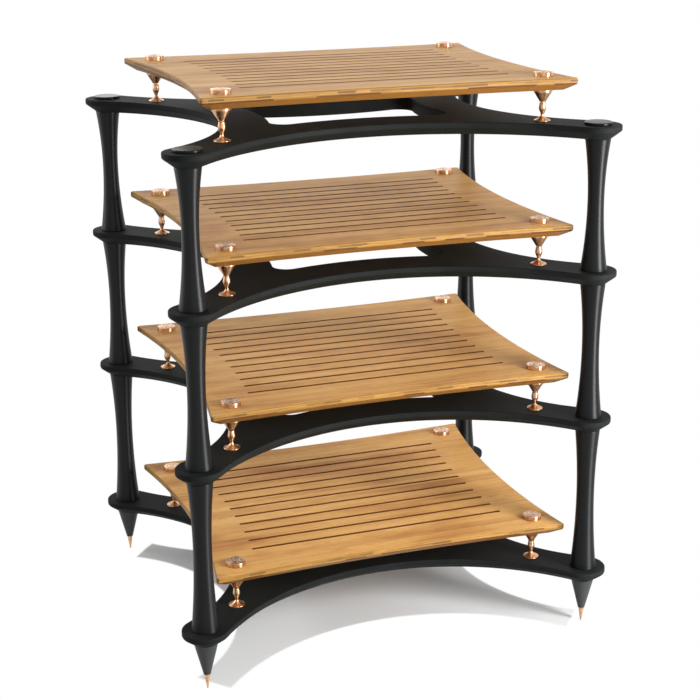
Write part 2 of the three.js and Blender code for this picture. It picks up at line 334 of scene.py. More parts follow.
def draw_board(piece, corners, arcs, lower_corners, lower_arcs, bevel_height, thickness):
    """Draws a board with straight edges above and a long bevel below them."""
    draw_outline(corners, arcs, bevel_height)
    draw_outline(lower_corners, lower_arcs, 0)
    bpy.ops.mesh.select_all(action="SELECT")
    bpy.ops.mesh.select_mode(type="EDGE")
    bpy.ops.mesh.bridge_edge_loops()
    select_edges(piece, is_level_at(0))
    bpy.ops.mesh.edge_face_add()
    select_edges(piece, is_level_at(bevel_height))
    fill_and_raise(thickness - bevel_height)
    select_faces(piece, is_level_at(bevel_height))
    bpy.ops.mesh.delete(type="ONLY_FACE")
    face_outwards()


def face_outwards():
    bpy.ops.mesh.select_all(action="SELECT")
    bpy.ops.mesh.normals_make_consistent(inside=False)


def select_chosen(piece, kind, chosen):
    bpy.ops.mesh.select_mode(type=kind)
    bpy.ops.mesh.select_all(action="DESELECT")
    mesh = bmesh.from_edit_mesh(piece.data)
    elements = mesh.faces if kind == "FACE" else mesh.edges
    for element in elements:
        if chosen(element):
            element.select_set(True)
    bmesh.update_edit_mesh(piece.data)


def select_faces(piece, chosen):
    select_chosen(piece, "FACE", chosen)


def select_edges(piece, chosen):
    select_chosen(piece, "EDGE", chosen)


def faces_up(face):
    return face.normal.z > LEVEL_FACE_NORMAL


def is_sharp(edge):
    return edge.calc_face_angle(0) > SMOOTH_ANGLE


def is_level_at(height):
    """Chooses edges or faces that lie level at a height."""
    return lambda element: all(abs(vertex.co.z - height) < NEARNESS for vertex in element.verts)


def is_ring_at(radius, height):
    """Chooses edges of a turned piece that run round it at that radius and height."""

    def is_near(vertex):
        is_at_radius = abs(math.hypot(vertex.co.x, vertex.co.y) - radius) < NEARNESS
        return is_at_radius and abs(vertex.co.z - height) < NEARNESS

    return lambda edge: all(is_near(vertex) for vertex in edge.verts)


def round_selected(size, steps=ROUNDING_STEPS):
    bpy.ops.mesh.bevel(
        offset=size, offset_type="OFFSET", segments=steps, affect="EDGES", clamp_overlap=True
    )


def add_material_slots(piece, count):
    """Adds empty slots, which are filled in each copy of the piece."""
    for _ in range(count):
        piece.data.materials.append(None)


def assign_faces(piece, chosen, material_slot):
    """Gives the chosen faces that material slot, in edit mode."""
    select_faces(piece, chosen)
    piece.active_material_index = material_slot
    bpy.ops.object.material_slot_assign()


def finish_shape(piece):
    """Leaves edit mode and shades the curves smooth, with the flats kept flat."""
    bpy.ops.mesh.select_mode(type="VERT")
    bpy.ops.object.mode_set(mode="OBJECT")
    bpy.ops.object.shade_smooth_by_angle(angle=SMOOTH_ANGLE)
    evenness = piece.modifiers.new("even shading", "WEIGHTED_NORMAL")
    evenness.keep_sharp = True
    bpy.ops.object.modifier_apply(modifier=evenness.name)


def cut_away(piece, cutter):
    """Cuts one piece out of another, and takes the cutter away."""
    clear_selection()
    piece.select_set(True)
    bpy.context.view_layer.objects.active = piece
    cut = piece.modifiers.new("cut", "BOOLEAN")
    cut.operation = "DIFFERENCE"
    cut.solver = "EXACT"
    cut.object = cutter
    bpy.ops.object.modifier_apply(modifier=cut.name)
    bpy.data.objects.remove(cutter)
    bpy.ops.object.mode_set(mode="EDIT")


# Frames


def model_window_cutter():
    cutter = start_piece("window cutter")
    draw_outline(corners_between(window_arcs, WINDOW_CORNER_RADIUS), window_arcs, -CUT_OVERRUN)
    fill_and_raise(FRAME_THICKNESS + 2 * CUT_OVERRUN)
    face_outwards()
    bpy.ops.object.mode_set(mode="OBJECT")
    return cutter


def model_frame():
    piece = start_piece("model of a frame")
    lower_corners = [(x, y, radius - FRAME_BEVEL_INSET) for x, y, radius in column_corners]
    lower_arcs = moved_in(frame_arcs, FRAME_BEVEL_INSET, FRAME_BEVEL_INSET)
    bevel_height = FRAME_BEVEL_HEIGHT
    draw_board(
        piece, column_corners, frame_arcs, lower_corners, lower_arcs, bevel_height, FRAME_THICKNESS
    )
    select_edges(piece, is_level_at(bevel_height))
    round_selected(FRAME_BAND_ROUNDING)
    select_edges(piece, is_level_at(FRAME_THICKNESS))
    round_selected(FRAME_TOP_ROUNDING)
    bpy.ops.object.mode_set(mode="OBJECT")
    cut_away(piece, model_window_cutter())
    select_edges(piece, is_window_rim)
    round_selected(FRAME_TOP_ROUNDING)
    finish_shape(piece)
    return piece


def is_window_rim(edge):
    reach_x = COLUMN_FRONT_SPAN / 2 - FRAME_SIDE_SINK
    reach_y = COLUMN_DEPTH_SPAN / 2 - FRAME_FRONT_SINK
    is_within = all(
        abs(vertex.co.x) < reach_x and abs(vertex.co.y) < reach_y for vertex in edge.verts
    )
    is_at_top_or_bottom = is_level_at(FRAME_THICKNESS)(edge) or is_level_at(0)(edge)
    return is_sharp(edge) and is_within and is_at_top_or_bottom


# Shelves


def slot_end(y):
    """Half the length of a slot between the centres of its round ends."""
    side_x, side_y, side_radius = shelf_arcs[1]
    edge_x = side_x - math.sqrt(side_radius**2 - (y - side_y) ** 2)
    return edge_x - SLOT_END_MARGIN - SLOT_WIDTH / 2


def model_slot_cutter():
    """The slots, and the recesses in which the discs sit."""
    cutter = start_piece("slot cutter")
    for number in range(-SLOTS_PER_SIDE, SLOTS_PER_SIDE + 1):
        y = number * SLOT_PITCH
        end = slot_end(y)
        draw_from(-end, y - SLOT_WIDTH / 2, -CUT_OVERRUN)
        draw_straight(2 * end, 0, 0)
        draw_arc(end, y, -CUT_OVERRUN, math.pi, SLOT_END_STEPS)
        draw_straight(-2 * end, 0, 0)
        draw_arc(-end, y, -CUT_OVERRUN, math.pi, SLOT_END_STEPS)
        close_outline()
        fill_and_raise(SHELF_THICKNESS + 2 * CUT_OVERRUN)
    face_outwards()
    for place in PLACES:
        x, y = axis_of(f"shelf_foot_1_{place}")
        bpy.ops.mesh.primitive_cylinder_add(
            vertices=SMALL_TURNING_STEPS,
            radius=DISC_RADIUS + RECESS_CLEARANCE,
            depth=2 * CUT_OVERRUN,
            location=(x, y, SHELF_THICKNESS - DISC_RECESS + CUT_OVERRUN),
        )
    bpy.ops.object.mode_set(mode="OBJECT")
    return cutter


def is_within_slots(element):
    """Whether all its vertices lie in the part of the shelf that holds the slots."""
    reach = SLOTS_PER_SIDE * SLOT_PITCH + SLOT_WIDTH
    return all(
        abs(vertex.co.y) < reach and abs(vertex.co.x) < slot_end(vertex.co.y) + SLOT_WIDTH
        for vertex in element.verts
    )


def is_slot_rim(edge):
    return is_sharp(edge) and is_level_at(SHELF_THICKNESS)(edge) and is_within_slots(edge)


def is_shelf_edge(face):
    """Whether it is on an edge or in a slot. The slots' walls get their own material afterwards."""
    return abs(face.normal.z) < SHELF_EDGE_NORMAL


def is_slot_wall(face):
    return abs(face.normal.z) < SLOT_WALL_NORMAL and is_within_slots(face)


def model_shelf():
    """Its material slots are for its faces, its edges and the walls of its slots, in that order."""
    piece = start_piece("model of a shelf")
    lower_arcs = moved_in(shelf_arcs, SHELF_BEVEL_INSET, SHELF_BEVEL_INSET)
    corners = corners_between(shelf_arcs, SHELF_CORNER_RADIUS)
    lower_corners = corners_between(lower_arcs, SHELF_BEVEL_CORNER_RADIUS)
    draw_board(
        piece, corners, shelf_arcs, lower_corners, lower_arcs, SHELF_BEVEL_HEIGHT, SHELF_THICKNESS
    )
    select_edges(piece, is_level_at(SHELF_BEVEL_HEIGHT))
    round_selected(SHELF_BEVEL_ROUNDING)
    select_edges(piece, is_level_at(SHELF_THICKNESS))
    round_selected(SHELF_TOP_ROUNDING, SHELF_TOP_ROUNDING_STEPS)
    bpy.ops.object.mode_set(mode="OBJECT")
    cut_away(piece, model_slot_cutter())
    select_edges(piece, is_slot_rim)
    round_selected(SLOT_ROUNDING, SLOT_ROUNDING_STEPS)
    add_material_slots(piece, 3)
    assign_faces(piece, is_shelf_edge, SHELF_EDGE_MATERIAL)
    # The walls of the slots get a material whose dark colour is painted shade
    assign_faces(piece, is_slot_wall, SLOT_WALL_MATERIAL)
    finish_shape(piece)
    return piece


# Turned pieces


def turn(name, side, steps, rounded=()):
    """Draws a side through (radius, height) points and spins it round the axis.

    The rings to round are listed as (radius, height, size).
    """
    piece = start_piece(name)
    radius, height = side[0]
    draw_from(radius, 0, height)
    for next_radius, next_height in side[1:]:
        draw_straight(next_radius - radius, 0, next_height - height)
        radius, height = next_radius, next_height
    bpy.ops.mesh.select_all(action="SELECT")
    bpy.ops.mesh.spin(steps=steps, angle=math.tau, center=(0, 0, 0), axis=(0, 0, 1))
    bpy.ops.mesh.select_all(action="SELECT")
    bpy.ops.mesh.remove_doubles(threshold=MERGE_DISTANCE)
    face_outwards()
    for ring_radius, ring_height, size in rounded:
        select_edges(piece, is_ring_at(ring_radius, ring_height))
        round_selected(size)
    finish_shape(piece)
    note_turning(piece)
    return piece


def note_turning(piece):
    """Keeps how far each vertex lies from the lathe's axis, for the turning marks."""
    marks = piece.data.attributes.new("turned radius", "FLOAT", "POINT")
    for vertex, mark in zip(piece.data.vertices, marks.data):
        mark.value = math.hypot(vertex.co.x, vertex.co.y)


def model_column(tier, height):
    waist = WAIST_RADII[tier]
    side = [(0, 0)]
    for step in range(SIDE_STEPS + 1):
        share = step / SIDE_STEPS
        is_below = share < COLUMN_WAIST_SHARE
        end_radius = COLUMN_BOTTOM_RADIUS if is_below else COLUMN_TOP_RADIUS
        run = COLUMN_WAIST_SHARE if is_below else 1 - COLUMN_WAIST_SHARE
        bow = ((share - COLUMN_WAIST_SHARE) / run) ** 2
        side.append((waist + (end_radius - waist) * bow, share * height))
    side.append((0, height))
    rounded = [
        (COLUMN_BOTTOM_RADIUS, 0, COLUMN_END_ROUNDING),
        (COLUMN_TOP_RADIUS, height, COLUMN_END_ROUNDING),
    ]
    return turn(f"model of a tier {tier} column", side, TURNING_STEPS, rounded)


def model_cap():
    side = [(0, 0), (CAP_RADIUS, 0), (CAP_RADIUS, CAP_HEIGHT), (0, CAP_HEIGHT)]
    return turn("model of a cap", side, TURNING_STEPS, [(CAP_RADIUS, CAP_HEIGHT, CAP_ROUNDING)])


def model_foot_cone():
    bore_radius = SPIKE_SHANK_RADIUS + BORE_CLEARANCE
    bore_depth = SPIKE_SHANK_LENGTH + SPIKE_BORE_RELIEF
    slope = (CONE_TOP_RADIUS - CONE_END_RADIUS) / CONE_HEIGHT
    lower_edge, lower_floor, upper_floor, upper_edge = CONE_GROOVE_HEIGHTS

    def cone_radius(height):
        return CONE_END_RADIUS + slope * height

    groove = [
        (cone_radius(lower_edge), lower_edge),
        (cone_radius(lower_edge) - CONE_GROOVE_DEPTH, lower_floor),
        (cone_radius(upper_floor) - CONE_GROOVE_DEPTH, upper_floor),
        (cone_radius(upper_edge), upper_edge),
    ]
    side = [
        (0, bore_depth),
        (bore_radius, bore_depth),
        (bore_radius, 0),
        (CONE_END_RADIUS, 0),
        *groove,
        (CONE_TOP_RADIUS, CONE_HEIGHT),
        (0, CONE_HEIGHT),
    ]
    rounded = [
        (CONE_END_RADIUS, 0, CONE_END_ROUNDING),
        (CONE_TOP_RADIUS, CONE_HEIGHT, CONE_TOP_ROUNDING),
    ]
    return turn("model of a foot cone", side, TURNING_STEPS, rounded)


def model_floor_spike():
    side = [
        (0, 0),
        (SPIKE_TIP_RADIUS, 0),
        (SPIKE_TOP_RADIUS, SPIKE_HEIGHT - SPIKE_COLLAR_HEIGHT),
        (SPIKE_TOP_RADIUS, SPIKE_HEIGHT),
        (SPIKE_SHANK_RADIUS, SPIKE_HEIGHT),
        (SPIKE_SHANK_RADIUS, SPIKE_HEIGHT + SPIKE_SHANK_LENGTH),
        (0, SPIKE_HEIGHT + SPIKE_SHANK_LENGTH),
    ]
    rounded = [
        (SPIKE_TIP_RADIUS, 0, SPIKE_TIP_ROUNDING),
        (SPIKE_TOP_RADIUS, SPIKE_HEIGHT, SPIKE_TOP_ROUNDING),
    ]
    return turn("model of a floor spike", side, SMALL_TURNING_STEPS, rounded)


def eased(start, end, share):
    """From start to end, level at both ends."""
    return start + (end - start) * (3 - 2 * share) * share**2


def model_pedestal():
    """A dish, a bottle-shaped spindle and the pin on which the shelf's foot stands."""
    side = [(0, 0), (DISH_RADIUS, 0)]
    for step in range(DISH_STEPS + 1):
        share = step / DISH_STEPS
        flare = (DISH_RADIUS - SPINDLE_NECK_RADIUS) * (1 - share) ** DISH_HOLLOWNESS
        height = DISH_RIM_HEIGHT + (DISH_HEIGHT - DISH_RIM_HEIGHT) * share
        side.append((SPINDLE_NECK_RADIUS + flare, height))
    belly_height = SPINDLE_HEIGHT * SPINDLE_BELLY_SHARE
    for step in range(1, BELLY_STEPS + 1):
        share = step / BELLY_STEPS
        radius = eased(SPINDLE_NECK_RADIUS, SPINDLE_BELLY_RADIUS, share)
        side.append((radius, DISH_HEIGHT + belly_height * share))
    for step in range(1, SHOULDER_STEPS + 1):
        share = step / SHOULDER_STEPS
        radius = eased(SPINDLE_BELLY_RADIUS, SPINDLE_TOP_RADIUS, share)
        side.append((radius, DISH_HEIGHT + belly_height + (SPINDLE_HEIGHT - belly_height) * share))
    spindle_top = DISH_HEIGHT + SPINDLE_HEIGHT
    pin_top = spindle_top + PIN_HEIGHT
    side += [
        (PIN_RADIUS, spindle_top),
        (PIN_RADIUS, pin_top - PIN_TIP_HEIGHT),
        (PIN_TIP_RADIUS, pin_top),
        (0, pin_top),
    ]
    rounded = [
        (DISH_RADIUS, 0, DISH_FOOT_ROUNDING),
        (DISH_RADIUS, DISH_RIM_HEIGHT, DISH_RIM_ROUNDING),
        (SPINDLE_TOP_RADIUS, spindle_top, SPINDLE_TOP_ROUNDING),
    ]
    return turn("model of a pedestal", side, SMALL_TURNING_STEPS, rounded)


def model_shelf_foot():
    """A cone under the shelf, with a blind socket for the pin."""
    socket_radius = PIN_RADIUS + BORE_CLEARANCE
    socket_depth = PIN_HEIGHT - FOOT_JOINT_GAP
    rim_top = FOOT_CONE_HEIGHT + FOOT_RIM_HEIGHT
    side = [
        (0, socket_depth),
        (socket_radius, socket_depth),
        (socket_radius, 0),
        (FOOT_CONE_END_RADIUS, 0),
        (FOOT_CONE_END_RADIUS + FOOT_CONE_LIP_FLARE, FOOT_CONE_LIP_HEIGHT),
        (FOOT_RIM_RADIUS, FOOT_CONE_HEIGHT),
        (FOOT_RIM_RADIUS, rim_top),
        (0, rim_top),
    ]
    rounded = [
        (FOOT_CONE_END_RADIUS, 0, FOOT_CONE_END_ROUNDING),
        (FOOT_RIM_RADIUS, FOOT_CONE_HEIGHT, FOOT_RIM_ROUNDING),
    ]
    return turn("model of a shelf foot", side, SMALL_TURNING_STEPS, rounded)


def model_disc():
    """The head of a shelf foot's stud, sunk a little into the shelf."""
    top = DISC_RECESS + DISC_HEIGHT
    side = [(0, 0), (DISC_RADIUS, 0), (DISC_RADIUS, top), (0, top)]
    rounded = [(DISC_RADIUS, top, DISC_ROUNDING)]
    piece = turn("model of a disc", side, SMALL_TURNING_STEPS, rounded)
    add_material_slots(piece, 2)
    bpy.ops.object.mode_set(mode="EDIT")
    assign_faces(piece, faces_up, DISC_TOP_MATERIAL)
    bpy.ops.object.mode_set(mode="OBJECT")
    return piece


# Finishes

NOISE_ROUGHNESS = 0.55


class Value:
    """A number that changes over a surface. Python's operators on it add Math nodes."""

    def __init__(self, finish, socket):
        self.finish = finish
        self.socket = socket

    def maths(self, operation, *numbers):
        return self.finish.add("ShaderNodeMath", {"operation": operation}, dict(enumerate(numbers)))

    def __add__(self, other):
        return self.maths("ADD", self, other)

    def __radd__(self, other):
        return self.maths("ADD", other, self)

    def __sub__(self, other):
        return self.maths("SUBTRACT", self, other)

    def __rsub__(self, other):
        return self.maths("SUBTRACT", other, self)

    def __mul__(self, other):
        return self.maths("MULTIPLY", self, other)

    def __rmul__(self, other):
        return self.maths("MULTIPLY", other, self)

    def __truediv__(self, other):
        return self.maths("DIVIDE", self, other)

    def __abs__(self):
        return self.maths("ABSOLUTE", self)

    def floor(self):
        return self.maths("FLOOR", self)

    def fraction(self):
        return self.maths("FRACT", self)

    def between(self, low, high, softness):
        """1 from low to high, 0 outside, with soft ends."""
        return self.rising(low - softness, low) - self.rising(high, high + softness)

    def rising(self, low, high):
        """0 below low, 1 above high."""
        settings = {"interpolation_type": "SMOOTHSTEP"}
        sockets = {"Value": self, "From Min": low, "From Max": high}
        return self.finish.add("ShaderNodeMapRange", settings, sockets)

    def other(self, name):
        """Another output of the node that this value comes from."""
        return Value(self.finish, self.socket.node.outputs[name])


class Finish:
    """A material, whose nodes are added one by one."""

    def __init__(self, name):
        self.material = bpy.data.materials.new(name)
        self.material.use_nodes = True
        self.tree = self.material.node_tree
        self.shader = self.tree.nodes["Principled BSDF"]

    def add(self, kind, settings, sockets, output=0):
        """Adds a node with these settings, and fills its sockets with numbers, colours or values."""
        node = self.tree.nodes.new(kind)
        for name, setting in settings.items():
            setattr(node, name, setting)
        for name, value in sockets.items():
            self.fill(node.inputs[name], value)
        return Value(self, node.outputs[output])

    def fill(self, socket, value):
        if isinstance(value, Value):
            self.tree.links.new(value.socket, socket)
        else:
            socket.default_value = value

    def set(self, **sockets):
        """Fills sockets of the shader itself. Underscores in a name stand for spaces."""
        for name, value in sockets.items():
            self.fill(self.shader.inputs[name.replace("_", " ")], value)

    def place(self):
        return self.add("ShaderNodeTexCoord", {}, {}, "Object")

    def noise(self, place, scale, detail):
        sockets = {"Vector": place, "Scale": scale, "Detail": detail, "Roughness": NOISE_ROUGHNESS}
        return self.add("ShaderNodeTexNoise", {}, sockets)

    def grain(self, place, scale, detail):
        """Noise with a scale for each direction, so that it runs in lines."""
        sockets = {"Vector": place, "Scale": scale}
        return self.noise(self.add("ShaderNodeMapping", {"vector_type": "POINT"}, sockets), 1, detail)

    def chance(self, number):
        """A random number from 0 to 1 for each whole number."""
        return self.add("ShaderNodeTexWhiteNoise", {"noise_dimensions": "1D"}, {"W": number})

    def mixed(self, factor, first, second):
        """A mix of two colours."""
        settings = {"data_type": "RGBA", "clamp_factor": True}
        return self.add("ShaderNodeMix", settings, {0: factor, 6: first, 7: second}, 2)

    def bumped(self, height, distance):
        sockets = {"Height": height, "Distance": distance, "Strength": 1}
        self.set(Normal=self.add("ShaderNodeBump", {}, sockets))

    def seen(self):
        """1 to the camera and in what it sees in metal or glass, 0 to rays that only carry light."""
        rays = self.add("ShaderNodeLightPath", {}, {}, "Is Camera Ray")
        return rays + rays.other("Is Glossy Ray") + rays.other("Is Transmission Ray")


class Surroundings(Finish):
    """The world, whose nodes are added as a material's are."""

    def __init__(self, name):
        self.world = bpy.data.worlds.new(name)
        self.world.use_nodes = True
        self.tree = self.world.node_tree
        self.shader = self.tree.nodes["Background"]


def colour(red, green, blue):
    """A colour as it looks on a screen, 0 to 255, in the linear values that a shader takes."""
    shares = (red / 255, green / 255, blue / 255)
    return (*(s / 12.92 if s < 0.04045 else ((s + 0.055) / 1.055) ** 2.4 for s in shares), 1)


BAMBOO_PALE = colour(226, 180, 114)
BAMBOO_MIDDLE = colour(206, 156, 90)
BAMBOO_DEEP = colour(168, 112, 56)
BAMBOO_RED = colour(150, 86, 42)
EDGE_GOLD = colour(160, 120, 56)
EDGE_AMBER = colour(124, 82, 34)
EDGE_BROWN = colour(88, 60, 28)
EDGE_RED = colour(76, 38, 16)
# The slot walls' dark browns are painted shade: the shade deep inside the narrow slots, given as colour
SLOT_SHADE_BROWN = colour(108, 56, 16)
SLOT_SHADE_DARK = colour(78, 38, 10)
CHARCOAL_DARK = colour(22, 24, 23)
CHARCOAL_LIGHT = colour(27, 29, 28)
SATIN_DARK = colour(5, 6, 7)
SATIN_LIGHT = colour(8, 9, 10)
GLOSS_DARK = colour(9, 10, 11)
GLOSS_LIGHT = colour(14, 15, 16)
CONE_DARK = colour(44, 45, 46)
CONE_LIGHT = colour(54, 55, 56)
BRONZE_BRIGHT = colour(220, 176, 136)
BRONZE_DULL = colour(176, 130, 94)
BRUSHED_BRIGHT = colour(226, 190, 158)
BRUSHED_DULL = colour(150, 110, 82)

# Bamboo seen on its face: strips, and growth nodes that cross a strip here and there
STRIP_WIDTH = 0.021
STRIP_START = 40
STRIP_SHIFT = 0.37
STRIP_SEED = 31
NODE_SPACING = 0.235
NODE_START = 20
NODE_SHIFT = 9.7
NODE_FADE = (0.002, 0.022)
NODE_SEEDS = (7, 3)

# Scales of its grain along X, Y and Z
NODE_SCALE = (9, 60, 9)
FIBRE_SCALE = (14, 900, 14)
STREAK_SCALE = (5, 210, 5)
BAND_SCALE = (2.5, 48, 2.5)
CLOUD_SCALE = (6, 13, 6)
FLECK_SCALE = (60, 620, 60)

# Bamboo seen on an edge: how long its strips are, and how deep their rows lie under the top
UPPER_STRIP_LENGTH = 0.024
UPPER_START = 30
UPPER_SEED = 13
UPPER_ROW = (0.0026, 0.0048)
LOWER_STRIP_LENGTH = 0.031
LOWER_START = 50
LOWER_SEED = 29
LOWER_ROW = (0.0069, 0.0087)
ROW_SOFTNESS = 0.0006
AMBER_START = (0.0070, 0.0095)
WANDER_SCALE = (9, 9, 9)
WANDER_REACH = 1.6
EDGE_STREAK_SCALE = (10, 10, 800)
EDGE_FIBRE_SCALE = (40, 40, 2500)
WALL_FIBRE_SCALE = (40, 40, 1800)

# Turning and brushing marks in metal and under a coat
RING_SCALE = (30, 30, 1100)
TURNING_MARK_SCALE = 2600
SCRATCH_SCALE = (300, 2600, 300)


def make_bamboo_face(level):
    """Strips along X, with fibres, streaks, clouds and faint reddish growth nodes, under satin lacquer."""
    finish = Finish(f"bamboo face {level}")
    place = finish.place()
    x = finish.add("ShaderNodeSeparateXYZ", {}, {"Vector": place}, "X")
    y = x.other("Y")
    across = y / STRIP_WIDTH + (level * STRIP_SHIFT + STRIP_START)
    strip = across.floor() + level * STRIP_SEED
    tone = finish.chance(strip)
    along = x / NODE_SPACING + (tone * NODE_SHIFT + NODE_START)
    cell = along.floor() * NODE_SEEDS[0] + strip * NODE_SEEDS[1]
    from_node = abs(along.fraction() - 0.5) * NODE_SPACING
    wide = finish.grain(place, NODE_SCALE, 3)
    node = (1 - from_node.rising(*NODE_FADE)) * finish.chance(cell) * wide.rising(0.4, 0.6)
    fibres = finish.grain(place, FIBRE_SCALE, 2)
    streaks = finish.grain(place, STREAK_SCALE, 3)
    bands = finish.grain(place, BAND_SCALE, 3)
    clouds = finish.grain(place, CLOUD_SCALE, 3)
    flecks = finish.grain(place, FLECK_SCALE, 2)
    shade = tone * 0.25 + streaks * 0.7 + bands * 0.8 + clouds * 0.7 + fibres * 0.35 - 0.9
    base = finish.mixed(shade.rising(0.0, 0.45), BAMBOO_PALE, BAMBOO_MIDDLE)
    base = finish.mixed(shade.rising(0.4, 0.95), base, BAMBOO_DEEP)
    base = finish.mixed(clouds.rising(0.5, 0.75) * 0.36, base, BAMBOO_RED)
    base = finish.mixed(flecks.rising(0.56, 0.72) * 0.45, base, BAMBOO_RED)
    base = finish.mixed(node * 0.35, base, BAMBOO_RED)
    finish.set(Base_Color=base, Roughness=0.4 + fibres * 0.12)
    finish.set(Specular_IOR_Level=0.06)
    finish.bumped(fibres, distance=0.00005)
    return finish.material


def make_bamboo_edge(level, bottom):
    """The layers: gold with a row of browner strips, dark red strips at the arris, then amber."""
    finish = Finish(f"bamboo edge {level}")
    place = finish.place()
    x = finish.add("ShaderNodeSeparateXYZ", {}, {"Vector": place}, "X")
    depth = (bottom + SHELF_THICKNESS) - x.other("Z")
    along = x + x.other("Y")
    wander = finish.grain(place, WANDER_SCALE, 1) * WANDER_REACH
    upper = (along / UPPER_STRIP_LENGTH + wander + UPPER_START).floor() + level * UPPER_SEED
    lower = (along / LOWER_STRIP_LENGTH + wander + LOWER_START).floor() + level * LOWER_SEED
    upper_tone = finish.chance(upper).rising(0.15, 0.85)
    lower_tone = finish.chance(lower).rising(0.3, 0.65)
    streaks = finish.grain(place, EDGE_STREAK_SCALE, 3)
    fibres = finish.grain(place, EDGE_FIBRE_SCALE, 2)
    base = finish.mixed(depth.rising(*AMBER_START), EDGE_GOLD, EDGE_AMBER)
    base = finish.mixed(streaks.rising(0.4, 0.6) * 0.65, base, EDGE_AMBER)
    upper_row = depth.between(*UPPER_ROW, ROW_SOFTNESS)
    lower_row = depth.between(*LOWER_ROW, ROW_SOFTNESS)
    base = finish.mixed(upper_row * upper_tone * 0.85, base, EDGE_BROWN)
    base = finish.mixed(lower_row * lower_tone * 0.9, base, EDGE_RED)
    base = finish.mixed(fibres.rising(0.45, 0.65) * 0.45, base, EDGE_BROWN)
    finish.set(Base_Color=base, Roughness=0.38 + fibres * 0.15)
    finish.set(Specular_IOR_Level=0.2)
    finish.bumped(streaks, distance=0.00008)
    return finish.material


def make_shaded_slot_wall():
    """Bamboo in dark browns that are painted shade, for the shade deep in the narrow slots, with the cut
    fibres showing as fine lines.
    """
    finish = Finish("bamboo slot walls in painted shade")
    place = finish.place()
    fibres = finish.grain(place, WALL_FIBRE_SCALE, 2)
    base = finish.mixed(fibres, SLOT_SHADE_BROWN, SLOT_SHADE_DARK)
    finish.set(Base_Color=base, Roughness=0.6 + fibres * 0.15)
    finish.set(Specular_IOR_Level=0.15)
    finish.bumped(fibres, distance=0.0001)
    return finish.material


def make_matt_charcoal():
    """Matt lacquer on board: a very fine grain, with faint clouding."""
    finish = Finish("matt charcoal")
    place = finish.place()
    clouds = finish.noise(place, 16, 3)
    grain = finish.noise(place, 1500, 2)
    base = finish.mixed(clouds.rising(0.3, 0.7), CHARCOAL_DARK, CHARCOAL_LIGHT)
    finish.set(Base_Color=base, Roughness=0.56 + grain * 0.14)
    finish.set(Specular_IOR_Level=0.06)
    finish.bumped(grain, distance=0.00006)
    return finish.material


def make_satin_black():
    """Satin coat on the columns, with a trace of turning under it."""
    finish = Finish("satin black")
    place = finish.place()
    clouds = finish.noise(place, 22, 2)
    rings = finish.grain(place, RING_SCALE, 2)
    base = finish.mixed(clouds, SATIN_DARK, SATIN_LIGHT)
    finish.set(Base_Color=base, Roughness=0.41 + clouds * 0.04 + rings * 0.04)
    finish.set(Specular_IOR_Level=0.21, Anisotropic=0.76, Anisotropic_Rotation=0.25)
    finish.bumped(rings, distance=0.00002)
    return finish.material


def make_gloss_black():
    """Glossy coat on the caps."""
    finish = Finish("gloss black")
    place = finish.place()
    clouds = finish.noise(place, 40, 2)
    base = finish.mixed(clouds, GLOSS_DARK, GLOSS_LIGHT)
    finish.set(Base_Color=base, Roughness=0.2 + clouds * 0.1)
    finish.set(Specular_IOR_Level=0.13)
    return finish.material


def make_cone_grey():
    """Satin grey-black coat on the foot cones, grainier than the columns."""
    finish = Finish("cone grey")
    place = finish.place()
    grain = finish.noise(place, 900, 3)
    clouds = finish.noise(place, 30, 2)
    base = finish.mixed(clouds, CONE_DARK, CONE_LIGHT)
    finish.set(Base_Color=base, Roughness=0.42 + grain * 0.15)
    finish.set(Specular_IOR_Level=0.25)
    finish.bumped(grain, distance=0.00006)
    return finish.material


def make_rose_bronze():
    """Polished rose bronze with fine turning marks, a little duller in places."""
    finish = Finish("rose bronze")
    place = finish.place()
    radius = finish.add("ShaderNodeAttribute", {"attribute_name": "turned radius"}, {}, "Fac")
    height = finish.add("ShaderNodeSeparateXYZ", {}, {"Vector": place}, "Z")
    sockets = {"W": (radius + height) * TURNING_MARK_SCALE, "Scale": 1}
    marks = finish.add("ShaderNodeTexNoise", {"noise_dimensions": "1D"}, sockets)
    clouds = finish.noise(place, 260, 3)
    base = finish.mixed(clouds.rising(0.35, 0.7), BRONZE_BRIGHT, BRONZE_DULL)
    finish.set(Base_Color=base, Metallic=1.0, Roughness=0.24 + clouds * 0.1 + marks * 0.08)
    finish.set(Anisotropic=0.8, Anisotropic_Rotation=0.25)
    finish.bumped(marks, distance=0.00002)
    return finish.material


def make_brushed_bronze():
    """The tops of the discs: the same bronze, brushed, so that it glitters in small patches."""
    finish = Finish("brushed rose bronze")
    place = finish.place()
    patches = finish.noise(place, 420, 3)
    scratches = finish.grain(place, SCRATCH_SCALE, 2)
    base = finish.mixed(patches.rising(0.4, 0.6), BRUSHED_BRIGHT, BRUSHED_DULL)
    finish.set(Base_Color=base, Metallic=1.0, Roughness=0.3 + patches * 0.16)
    finish.set(Anisotropic=0.8, Anisotropic_Rotation=0.25)
    finish.bumped(patches * 0.7 + scratches * 0.3, distance=0.0003)
    return finish.material


# Building the rack


def axis_of(node):
    low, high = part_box(node)
    return (low[0] + high[0]) / 2, (low[1] + high[1]) / 2


def bottom_of(node):
    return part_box(node)[0][2]


def top_of(node):
    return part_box(node)[1][2]


def set_in_place(model, name, node, x, y, z, replaced=True):
    """A copy of a modelled piece, moved to its place. It rides with the body of that CAD node."""
    clear_selection()
    model.select_set(True)
    bpy.context.view_layer.objects.active = model
    bpy.ops.object.duplicate()
    piece = bpy.context.object
    piece.name = name
    piece.location = (x, y, z)
    bpy.ops.object.transform_apply(location=True, rotation=False, scale=False)
    body = body_of(frame["nodes"][node])[0]
    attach(piece, body)
    if replaced:
        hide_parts(node)
    return piece


def give_finish(piece, slot, *materials):
    if not piece.data.materials:
        add_material_slots(piece, 1)
    for index, material in enumerate(materials):
        piece.data.materials[index] = material


